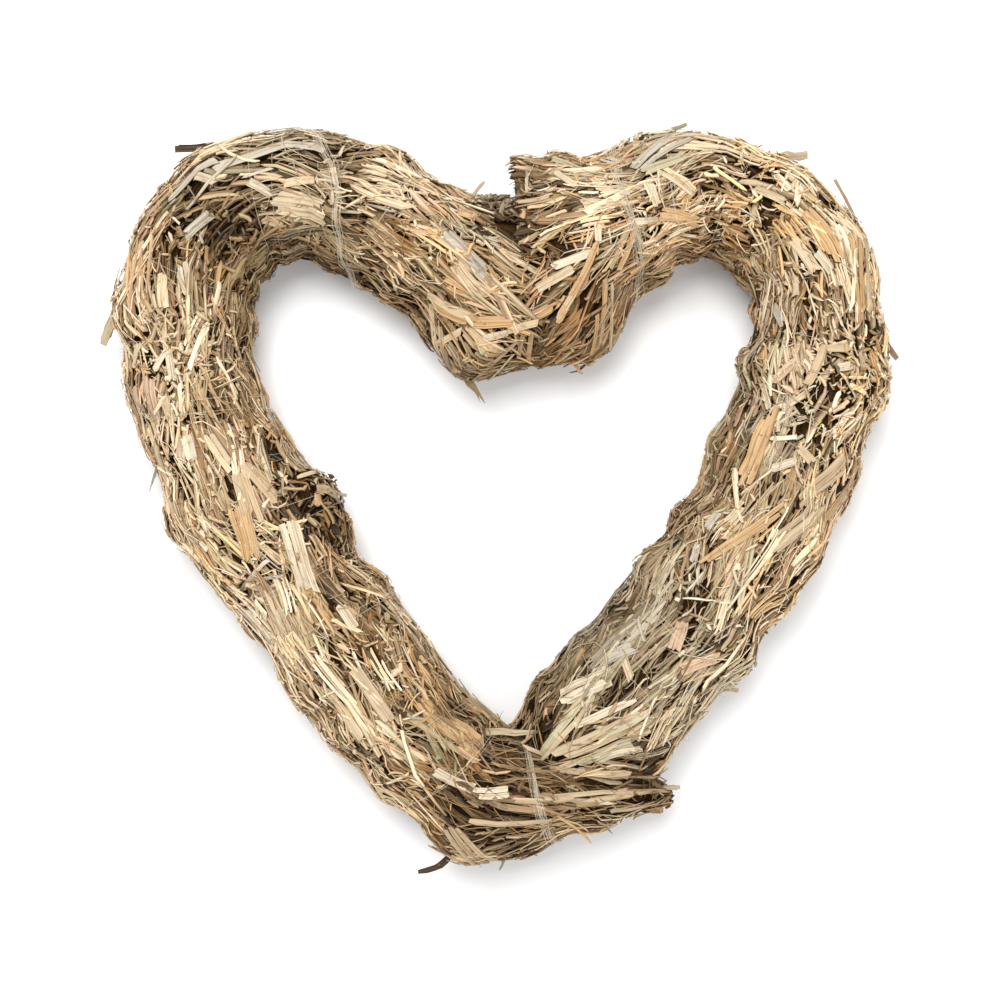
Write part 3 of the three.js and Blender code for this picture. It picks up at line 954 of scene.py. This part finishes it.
MARKED = {
    "left side pale strip": (149, 372, 167, 347, 0.0024, "bright"),
    "left side white block": (166, 345, 171, 381, 0.0034, "bright"),
    "left side cross strip": (184, 353, 214, 341, 0.0022, "straw"),
    "left side curl": (130, 368, 139, 345, 0.0022, "straw"),
    "left fan outer": (137, 380, 145, 415, 0.0032, "rose"),
    "left fan middle": (148, 376, 159, 424, 0.0046, "rose"),
    "left fan inner": (162, 397, 174, 428, 0.0036, "tan"),
    # painted highlights: pale straws where the binding glints
    "left glint": (185, 433, 192, 457, 0.0042, "bright"),
    "left glint beside": (178, 436, 184, 462, 0.0026, "ash"),
    "left long pale": (158, 441, 164, 488, 0.0030, "straw"),
    "left leg lump": (206, 433, 231, 470, 0.0046, "straw"),
    "left leg brown": (214, 424, 241, 464, 0.0040, "brown"),
    "left leg strip": (237, 469, 254, 522, 0.0066, "tan"),
    "left leg wide": (239, 508, 252, 560, 0.0084, "amber"),
    "left leg slant": (243, 462, 276, 500, 0.0050, "tan"),
    "left leg white": (286, 520, 310, 592, 0.0070, "bright"),
    "left leg edge": (168, 490, 201, 551, 0.0044, "straw"),
    "left bump strand": (298, 478, 326, 473, 0.0018, "straw"),
    "left bump strip": (317, 485, 348, 503, 0.0030, "tan"),
    "left leg yellow": (338, 606, 356, 630, 0.0040, "bright"),
    "left leg middle": (262, 586, 290, 640, 0.0050, "straw"),
    "left leg lower": (352, 668, 392, 722, 0.0050, "tan"),
    "left leg lower pale": (330, 700, 366, 742, 0.0040, "straw"),
    "v wide left": (455, 308, 480, 322, 0.0032, "amber"),
    "v wide middle": (472, 321, 516, 322, 0.0042, "amber"),
    "v wide right": (512, 320, 551, 308, 0.0040, "amber"),
    "v wide under": (505, 329, 541, 322, 0.0024, "tan"),
    "v yellow": (479, 336, 512, 332, 0.0024, "bright"),
    "v lower left": (439, 338, 464, 332, 0.0022, "straw"),
    "v long straw": (488, 274, 525, 341, 0.0020, "tan"),
    "v long beside": (481, 270, 507, 318, 0.0014, "brown"),
    "v crossing": (472, 371, 520, 355, 0.0020, "tan"),
    "v crossing low": (480, 383, 513, 364, 0.0014, "straw"),
    "v left edge": (420, 308, 446, 352, 0.0026, "straw"),
    "v left edge low": (436, 330, 463, 380, 0.0024, "tan"),
    "v left dark": (446, 336, 474, 372, 0.0026, "brown"),
    "v white bundle": (440, 229, 487, 278, 0.0066, "ash"),
    "v white lower": (452, 262, 486, 304, 0.0052, "straw"),
    "v left arm": (424, 296, 468, 316, 0.0030, "tan"),
    "v left arm low": (428, 306, 470, 324, 0.0024, "amber"),
    "v right 1": (553, 328, 580, 284, 0.0022, "amber"),
    "v right 2": (560, 316, 596, 262, 0.0024, "tan"),
    "v right 3": (569, 300, 608, 236, 0.0022, "amber"),
    "v right steep 1": (594, 347, 609, 292, 0.0026, "amber"),
    "v right steep 2": (600, 349, 616, 284, 0.0022, "tan"),
    "v right steep 3": (606, 347, 618, 300, 0.0018, "straw"),
    "v right steep 4": (586, 353, 600, 318, 0.0018, "amber"),
    "v right upper": (612, 266, 634, 222, 0.0024, "tan"),
    "v right upper 2": (622, 268, 640, 228, 0.0022, "amber"),
    "v middle": (537, 288, 576, 269, 0.0034, "straw"),
    "v middle pale": (553, 267, 599, 251, 0.0026, "bright"),
    "v bundle": (582, 206, 618, 201, 0.0056, "straw"),
    "v upper strip": (592, 188, 628, 192, 0.0024, "bright"),
    "stub strip": (590, 175, 608, 188, 0.0026, "tan"),
    "stub sage": (550, 164, 583, 159, 0.0038, "sage"),
    "stub slant": (555, 170, 575, 182, 0.0028, "straw"),
    "lash knot": (603, 155, 620, 159, 0.0040, "ash"),
    "v upright chip": (598, 225, 597, 241, 0.0026, "bright"),
    "right lobe pale": (633, 223, 660, 221, 0.0022, "bright"),
    "right lobe amber": (657, 214, 702, 222, 0.0056, "amber"),
    "right lobe straw": (663, 166, 697, 191, 0.0040, "straw"),
    "right lobe bright": (648, 181, 659, 207, 0.0040, "bright"),
    "right lobe grey": (629, 168, 680, 132, 0.0060, "ash"),
    "right lobe grey low": (640, 172, 687, 152, 0.0040, "sage"),
    "right lobe end": (749, 184, 788, 201, 0.0034, "straw"),
    "right lobe wide": (812, 209, 842, 262, 0.0072, "amber"),
    "right lobe inner": (794, 239, 817, 272, 0.0042, "straw"),
    "right lobe white": (816, 252, 832, 272, 0.0034, "bright"),
    "right edge long": (857, 222, 864, 330, 0.0036, "amber"),
    "right edge beside": (868, 236, 872, 326, 0.0030, "straw"),
    "right inner ash": (768, 303, 778, 324, 0.0042, "ash"),
    "right side chip": (838, 369, 853, 366, 0.0034, "bright"),
    "right side upper": (828, 349, 853, 349, 0.0026, "tan"),
    "right side slant": (827, 341, 807, 387, 0.0032, "tan"),
    "right side rose": (771, 384, 794, 362, 0.0034, "rose"),
    "right leg wide": (771, 412, 743, 487, 0.0064, "amber"),
    "right leg upright": (766, 409, 763, 382, 0.0022, "bright"),
    "right leg cross": (771, 469, 797, 461, 0.0030, "bright"),
    "right leg block": (799, 446, 814, 462, 0.0034, "tan"),
    "right leg strip": (699, 567, 783, 510, 0.0034, "amber"),
    "right leg tan": (799, 509, 849, 455, 0.0060, "tan"),
    "right leg orange": (826, 525, 861, 471, 0.0048, "amber"),
    "right leg pale": (770, 553, 825, 508, 0.0084, "straw"),
    "right leg ash": (718, 507, 706, 532, 0.0034, "ash"),
    "right leg ash low": (697, 543, 690, 562, 0.0034, "ash"),
    "right leg straw": (723, 525, 744, 504, 0.0034, "straw"),
    "right leg rose": (673, 653, 684, 619, 0.0056, "rose"),
    "right leg outer": (680, 671, 721, 659, 0.0046, "rose"),
    "right leg white": (559, 705, 613, 677, 0.0074, "bright"),
    "right leg white low": (602, 664, 634, 646, 0.0050, "ash"),
    "right leg chip": (623, 652, 630, 678, 0.0028, "straw"),
    "tip fan steep": (541, 756, 584, 699, 0.0022, "sage"),
    "tip fan steep 2": (546, 757, 600, 694, 0.0018, "straw"),
    "tip fan pale": (574, 727, 634, 699, 0.0034, "bright"),
    "tip fan long": (543, 763, 648, 711, 0.0032, "straw"),
    "tip fan long end": (598, 739, 650, 709, 0.0042, "sage"),
    "tip fan low": (562, 766, 656, 723, 0.0040, "straw"),
    "tip fan lowest": (570, 768, 640, 742, 0.0026, "sage"),
    # painted highlight: a pale straw where the binding glints
    "tip fan painted glint": (594, 763, 646, 745, 0.0034, "bright"),
    "tip left fan 1": (421, 711, 493, 766, 0.0026, "amber"),
    "tip left fan 2": (432, 704, 494, 758, 0.0022, "brown"),
    "tip left fan 3": (444, 704, 492, 750, 0.0020, "amber"),
    "tip left fan 4": (410, 716, 484, 768, 0.0022, "tan"),
    "tip twist": (476, 782, 496, 768, 0.0016, "tan"),
    "tip twist right": (494, 769, 524, 777, 0.0016, "tan"),
    "tail pale": (472, 794, 512, 793, 0.0040, "bright"),
    "tail white": (431, 770, 474, 792, 0.0044, "bright"),
    "tail top": (540, 777, 640, 776, 0.0026, "tan"),
    "tail long 1": (480, 802, 575, 801, 0.0024, "tan"),
    "tail long 2": (548, 796, 640, 790, 0.0022, "straw"),
    "tail long 3": (500, 812, 600, 810, 0.0022, "brown"),
    "tail long 4": (470, 822, 550, 828, 0.0022, "tan"),
    "tail end top": (632, 794, 676, 788, 0.0018, "tan"),
    "tail middle": (552, 808, 640, 793, 0.0028, "tan"),
    "tip left": (446, 826, 490, 862, 0.0060, "tan"),
    "inner leg long": (420, 697, 489, 759, 0.0060, "amber"),
    # painted highlights: pale straws where the lash glints
    "lash glint": (333, 165, 336, 183, 0.0020, "bright"),
    "lash glint low": (331, 188, 332, 206, 0.0016, "bright"),
    "left top long": (158, 205, 222, 158, 0.0030, "ash"),
    "left top arc": (215, 162, 328, 134, 0.0030, "ash"),
    "left top bright": (195, 178, 217, 185, 0.0030, "bright"),
    "left lobe leaf": (247, 178, 274, 195, 0.0040, "bright"),
    "left lobe fan": (272, 200, 329, 212, 0.0100, "straw"),
    "left lobe strip": (284, 183, 315, 178, 0.0030, "tan"),
    "left lobe block": (183, 235, 214, 210, 0.0044, "ash"),
    "left lobe chip": (261, 222, 283, 225, 0.0034, "tan"),
    "left shoulder": (122, 284, 139, 236, 0.0050, "tan"),
    "left shoulder amber": (157, 271, 166, 313, 0.0042, "straw"),
    "left shoulder pale": (181, 265, 187, 296, 0.0040, "bright"),
}

straw_look = straw_material()
SIDE_SHARES = {"left": 0.56, "right": 0.44}
USUAL_KIND = {
    "slats": 1,
    "tilt": 0.03,
    "stiff": (0.0, 0.2),
    "curl": 0.02,
    "kink": 0.05,
    "only_messy": False,
    "wobble": 0.14,
    "slant": 0.7,
    "crossing": 0.003,
    "fan": 12,
    "splay": 0.05,
    "point": 0.2,
    "sparse": 0.8,
}


def straw_kind(groups, length, width, thickness, lifts, spread, chop, **others):
    """How many straws of a kind there are, their usual sizes in metres, and how loosely they lie."""
    kind = SimpleNamespace(groups=groups, length=length, width=width, thickness=thickness, lifts=lifts)
    kind.spread = spread
    kind.chop = chop
    vars(kind).update(USUAL_KIND)
    vars(kind).update(others)
    return kind


deep = straw_kind(
    groups=1900, length=0.030, width=0.0026, thickness=0.0014, lifts=(-0.0038, -0.0020),
    spread=0.14, chop=0.04, stiff=(0.0, 0.05), sparse=0.0,
)
tufts = straw_kind(
    groups=590, length=0.019, width=0.0013, thickness=0.0009, lifts=(-0.0022, -0.0002),
    spread=0.20, chop=0.07, slats=8, tilt=0.05, crossing=0.008,
)
curls = straw_kind(
    groups=7000, length=0.0105, width=0.0012, thickness=0.0006, lifts=(-0.0014, 0.0010),
    spread=0.5, chop=0.8, curl=0.08, kink=0.22, stiff=(0.2, 0.9), crossing=0.008, sparse=0.0,
    only_messy=True,
)
wide = straw_kind(
    groups=330, length=0.021, width=0.0012, thickness=0.0004, lifts=(-0.0014, 0.0003),
    spread=0.18, chop=0.08, slats=4, wobble=0.06, slant=0.4, fan=2, splay=0.012, point=0.5,
)
round_stalks = straw_kind(
    groups=1300, length=0.018, width=0.0016, thickness=0.0010, lifts=(-0.0020, 0.0002),
    spread=0.22, chop=0.14, stiff=(0.0, 0.4), tilt=0.05,
)
under = straw_kind(
    groups=2900, length=0.009, width=0.0014, thickness=0.0006, lifts=(-0.0028, -0.0008),
    spread=0.30, chop=0.30,
)
split = straw_kind(
    groups=1100, length=0.012, width=0.0008, thickness=0.0005, lifts=(-0.0014, 0.0004),
    spread=0.22, chop=0.14, slats=3, stiff=(0.0, 0.4), kink=0.1,
)
over = straw_kind(
    groups=7500, length=0.0055, width=0.0010, thickness=0.0006, lifts=(-0.0022, 0.0008),
    spread=0.40, chop=0.45, stiff=(0.0, 0.7), tilt=0.08, kink=0.25, crossing=0.008,
)
fine = straw_kind(
    groups=6500, length=0.008, width=0.00042, thickness=0.0003, lifts=(-0.0022, 0.0009),
    spread=0.35, chop=0.40, stiff=(0.1, 0.8), curl=0.09, kink=0.15,
)
hairs = straw_kind(
    groups=700, length=0.018, width=0.00045, thickness=0.0004, lifts=(-0.0002, 0.0011),
    spread=0.45, chop=0.45, stiff=(0.0, 0.3), curl=0.13, kink=0.2,
)
SHEAVES = {
    "ridged": (straw_form(3, 4), [deep, tufts, curls]),
    "strips": (straw_form(4, 4), [wide]),
    "stalks": (straw_form(6, 3), [round_stalks]),
    "chips": (straw_form(4, 1), [under]),
    "splits": (straw_form(3, 2), [split, over]),
    "fibres": (straw_form(3, 3), [fine, hairs]),
}
for side in rolls:
    for name, (form, kinds) in SHEAVES.items():
        batches = [straw_batch(side, kind) for kind in kinds]
        if name == "strips":
            batches.append(marked_batch(side))
        if name == "stalks" and side == "right":
            batches.append(cut_ends())
        straw_piece(name + "_" + side, form, batches, straw_look)

# Loose stalks. Single stalks that work loose and stand out of the rolls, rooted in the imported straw.
# Each is a flattened tube with a slight bow, torn to a point or broken off square.
STALK_THICKNESS = 0.0005
STALK_TURN = 0.35
STALK_RINGS = 9
STALK_SWELL = 0.10
STALK_SWAY = 0.06
STALK_SHADE = 0.8
SLIVERS = [(0.80, 1.0, 0.0), (0.50, 0.97, 0.0007), (0.40, 0.93, -0.0009)]
LOOSE_STALKS = {
    "top_left": ((-0.086, 0.1590, 0.034), (-0.1428, 0.1536, 0.029), 0.002, 0.0048, "bark", 0.7, -0.03),
    "left_side": ((-0.150, 0.124, 0.033), (-0.1746, 0.0675, 0.029), 0.002, 0.0050, "straw", 0.9),
    "left_spike": ((-0.143, 0.034, 0.030), (-0.1544, 0.003, 0.027), 0.001, 0.0018, "ash", 0.2),
    "left_inner": ((-0.094, 0.008, 0.031), (-0.0675, 0.0015, 0.027), 0.002, 0.0038, "ash", 0.5),
    "tip_hook": ((-0.0200, -0.146, 0.027), (-0.0362, -0.1652, 0.024), 0.003, 0.0036, "bark", 0.6, -0.22),
    "tip_point": ((0.006, -0.146, 0.028), (0.0, -0.164, 0.026), 0.001, 0.0024, "tan", 0.3),
    "tail_upper": ((0.045, -0.127, 0.033), (0.079, -0.1268, 0.030), 0.001, 0.0022, "straw", 0.9),
    "tail_lower": ((0.042, -0.134, 0.027), (0.072, -0.1382, 0.025), 0.001, 0.0026, "amber", 0.9),
    "tail_thorn": ((0.036, -0.134, 0.029), (0.0498, -0.1478, 0.027), 0.0, 0.0016, "tan", 0.15),
    "right_leg": ((0.082, -0.080, 0.032), (0.1048, -0.0845, 0.029), 0.001, 0.0028, "tan", 0.6),
    "right_side": ((0.156, 0.080, 0.033), (0.1746, 0.0615, 0.030), 0.002, 0.0040, "brown", 0.6),
    "right_top": ((0.056, 0.152, 0.033), (0.082, 0.1642, 0.030), 0.001, 0.0036, "sage", 0.5),
    "right_strip": ((0.110, 0.148, 0.034), (0.135, 0.1505, 0.030), 0.001, 0.0044, "straw", 0.9),
    "right_spike": ((0.147, 0.140, 0.030), (0.1605, 0.114, 0.029), 0.001, 0.0016, "tan", 0.2),
    "cleft": ((-0.020, 0.122, 0.033), (-0.007, 0.139, 0.031), 0.001, 0.0020, "tan", 0.6),
    "v_left": ((-0.027, 0.078, 0.034), (-0.0079, 0.0412, 0.028), 0.001, 0.0075, "brown", 0.03),
    "v_right": ((0.026, 0.070, 0.032), (0.036, 0.0545, 0.028), 0.001, 0.0034, "amber", 0.4),
    "tip_inner": ((-0.020, -0.1008, 0.041), (0.022, -0.1012, 0.041), 0.001, 0.0032, "straw", 0.3),
}


def loose_stalk(name, start, end, bow, width, colour, point, curve=0.0):
    """One frayed stalk along a bowed line: a flat strip and two slivers that part from it."""
    form = straw_form(4, STALK_RINGS - 2)
    corners = np.array([v.co for v in form.vertices])
    share = corners[:, 2:] + 0.5
    ring = np.rint(share[:, 0] * (STALK_RINGS - 1)).astype(int)
    places, grain, tint = [], [], []
    for girth, reach, swing in SLIVERS:
        swell = np.exp(rng.normal(0, STALK_SWELL, (STALK_RINGS, 1)))[ring]
        sway = rng.normal(0, STALK_SWAY, (STALK_RINGS, 1))[ring] * width
        root = np.array(start)
        tip = np.array(end)
        aside = np.cross(tip - root, (0, 0, 1))
        tip = root + (tip - root) * reach + aside / np.linalg.norm(aside) * swing * point
        rise = np.array([0, 0, 4 * bow]) + 4 * curve * aside
        line = root + (tip - root) * share + rise * share * (1 - share)
        forward = (tip - root) + rise * (1 - 2 * share)
        forward /= np.linalg.norm(forward, axis=1)[:, None]
        level = np.cross(forward, (0, 0, 1))
        level /= np.linalg.norm(level, axis=1)[:, None]
        upright = np.cross(level, forward)
        turn = STALK_TURN * rng.uniform(-1, 1)
        flat = level * math.cos(turn) + upright * math.sin(turn)
        out = upright * math.cos(turn) - level * math.sin(turn)
        narrow = 1 - (1 - point) * np.clip((share - 0.6) / 0.4, 0, 1)
        places.append(line + flat * (corners[:, :1] * width * girth * narrow * swell + sway)
                      + out * corners[:, 1:2] * STALK_THICKNESS * narrow)
        length = np.linalg.norm(tip - root)
        tone = 0 * share[:, 0] + 40 * width + 30 * swing
        grain.append(np.stack([corners[:, 2] * length, corners[:, 0] * width * girth, tone], axis=1))
        # painted shade on the stalk's underside
        shade = STALK_SHADE * MARKED_BRIGHTNESS * np.where(corners[:, 1:2] < 0, UNDERSIDE_SHADE, 1.0)
        tint.append(np.concatenate([PALETTE[colour] * shade, corners[:, :1] + 0.5], axis=1))
    mesh = copies(form, len(SLIVERS), "stalk_" + name)
    paint(mesh, np.stack(places), np.stack(grain), np.stack(tint))
    return mesh


for name, values in LOOSE_STALKS.items():
    stalk = add_piece(loose_stalk(name, *values), straw_look)
    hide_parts("loose_stalk_" + name)

# Binding thread. Thin clear nylon wound round and round each roll, a few strands to a turn, drawn tight
# into the straw. It glints where it crosses the top.
THREAD_RADIUS = 0.00017
THREAD_LIFT = 0.0005
THREAD_SIDES = 5
THREAD_STEPS_A_TURN = 40
THREAD_STRANDS = 2
STRAND_SPREAD = 0.0030
STRAND_WAVE = 0.035
THREAD_WEAVE = 0.0006
THREAD_WEAVE_WAVE = 0.010
WANDER_SEED = 71
WEAVE_SEED = 83
THREAD_SPANS = {"left": (0.14, 0.86), "right": (0.15, 0.90)}
LASH_STRANDS = 16
LASH_STEPS = 60
LASH_ENDS = (-0.45 * math.pi, 1.45 * math.pi)
LASH_LIFT = 0.0007
LASH_WANDER = 0.0006
LASH_WAVE = 0.025
LASH_WEAVE = 0.0007
LASH_WEAVE_WAVE = 0.022
LASHES = {
    "tip": (533, 778, 546, 831, 0.0009),
    "left_lobe": (331, 165, 336, 240, 0.0012),
    "right_lobe": (613, 156, 629, 205, 0.0012),
}


def strands(name, steps, lines, low, high):
    """A mesh of closed thin tubes, one along each line between two values of its run."""
    form = straw_form(THREAD_SIDES, steps)
    corners = np.array([v.co for v in form.vertices])
    at = low + (corners[:, 2] + 0.5) * (high - low)
    probe = 0.001 * (high - low)
    places = []
    for line in lines:
        middle = line(at)
        forward = line(at + probe) - line(at - probe)
        forward /= np.linalg.norm(forward, axis=1)[:, None]
        aside = np.cross(forward, (0.31, 0.17, 0.93))
        aside /= np.linalg.norm(aside, axis=1)[:, None]
        out = np.cross(aside, forward)
        places.append(middle + 2 * THREAD_RADIUS * (aside * corners[:, :1] + out * corners[:, 1:2]))
    mesh = copies(form, len(lines), name)
    mesh.vertices.foreach_set("co", np.concatenate(places).astype(np.float32).ravel())
    mesh.update()
    return mesh


def wound_line(roll, strand):
    """The helix of one strand of a roll's binding, as a function of the run along the roll."""
    def line(at):
        wander = STRAND_SPREAD * (strand - 0.5 + drift(at, 0 * at, WANDER_SEED + strand, STRAND_WAVE))
        weave = THREAD_WEAVE * drift(at, 0 * at, WEAVE_SEED + strand, THREAD_WEAVE_WAVE)
        return roll.place(at + wander, 2 * math.pi * at / THREAD_PITCH, THREAD_LIFT + weave)
    return line


def lash_line(x0, y0, x1, y1, offset):
    """One turn of a lash that passes over two pixels of the photograph, as a function of the angle."""
    side, _, _ = under_pixel((x0 + x1) / 2, (y0 + y1) / 2)
    _, s0, theta0 = under_pixel(x0, y0, side)
    _, s1, theta1 = under_pixel(x1, y1, side)
    slope = (s1 - s0) / (theta1 - theta0)

    def line(theta):
        seed = int(1e6 * abs(offset))
        wander = LASH_WANDER * drift(theta * HALF_DEPTH, 0 * theta, seed, LASH_WAVE)
        weave = LASH_WEAVE * drift(theta * HALF_DEPTH, 0 * theta, seed + 1, LASH_WEAVE_WAVE)
        return rolls[side].place(s0 + slope * (theta - theta0) + offset + wander, theta, LASH_LIFT + weave)
    return line


thread_look, thread_shader, _ = new_material("clear_nylon")
thread_shader.inputs["Base Color"].default_value = (*srgb(236, 222, 196), 1)
thread_shader.inputs["Roughness"].default_value = 0.15
thread_shader.inputs["Alpha"].default_value = 0.18
for side, roll in rolls.items():
    first, last = (share * roll.length for share in THREAD_SPANS[side])
    steps = int((last - first) / THREAD_PITCH * THREAD_STEPS_A_TURN)
    lines = [wound_line(roll, strand) for strand in range(THREAD_STRANDS)]
    thread = add_piece(strands("thread_" + side, steps, lines, first, last), thread_look)
    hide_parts("binding_thread_" + side)
for name, (x0, y0, x1, y1, spread) in LASHES.items():
    lines = [lash_line(x0, y0, x1, y1, rng.normal(0, spread)) for _ in range(LASH_STRANDS)]
    add_piece(strands("lash_" + name, LASH_STEPS, lines, *LASH_ENDS), thread_look)

# Stage. A plain pale floor under the heart, a broad soft light above it and the camera straight over it.
FLOOR_SIZE = 6.0
FRAME_CENTRE_Y = -0.0007
floor_bm = bmesh.new()
bmesh.ops.create_grid(floor_bm, x_segments=1, y_segments=1, size=FLOOR_SIZE / 2)
floor_mesh = bpy.data.meshes.new("floor")
floor_bm.to_mesh(floor_mesh)
floor_bm.free()
floor = bpy.data.objects.new("floor", floor_mesh)
bpy.context.scene.collection.objects.link(floor)
floor_look, floor_shader, _ = new_material("pale_floor")
floor_shader.inputs["Base Color"].default_value = (0.9, 0.9, 0.9, 1)
floor_shader.inputs["Roughness"].default_value = 0.9
floor_mesh.materials.append(floor_look)


def softbox(name, place, size, power):
    """A square soft light at a place, turned to the heart."""
    lamp = bpy.data.lights.new(name, "AREA")
    lamp.size = size
    lamp.energy = power
    light = bpy.data.objects.new(name, lamp)
    light.location = place
    aim = Vector((0, 0, MID_HEIGHT)) - light.location
    light.rotation_euler = aim.to_track_quat("-Z", "Y").to_euler()
    bpy.context.scene.collection.objects.link(light)


softbox("key_light", (-0.20, 0.55, 1.30), 0.8, 22)
softbox("fill_light", (0.6, -0.5, 1.2), 1.2, 7)
world = bpy.data.worlds.new("studio")
world.use_nodes = True
world.node_tree.nodes["Background"].inputs["Color"].default_value = (1, 1, 1, 1)
world.node_tree.nodes["Background"].inputs["Strength"].default_value = 0.6
bpy.context.scene.world = world
bpy.context.scene.view_settings.view_transform = "Standard"
camera_data = bpy.data.cameras.new("camera")
camera_data.sensor_width = 36
camera_data.lens = camera_data.sensor_width * CAMERA_HEIGHT / FRAME_WIDTH
camera = bpy.data.objects.new("camera", camera_data)
camera.location = (0, FRAME_CENTRE_Y, MID_HEIGHT + CAMERA_HEIGHT)
bpy.context.scene.collection.objects.link(camera)
bpy.context.scene.camera = camera
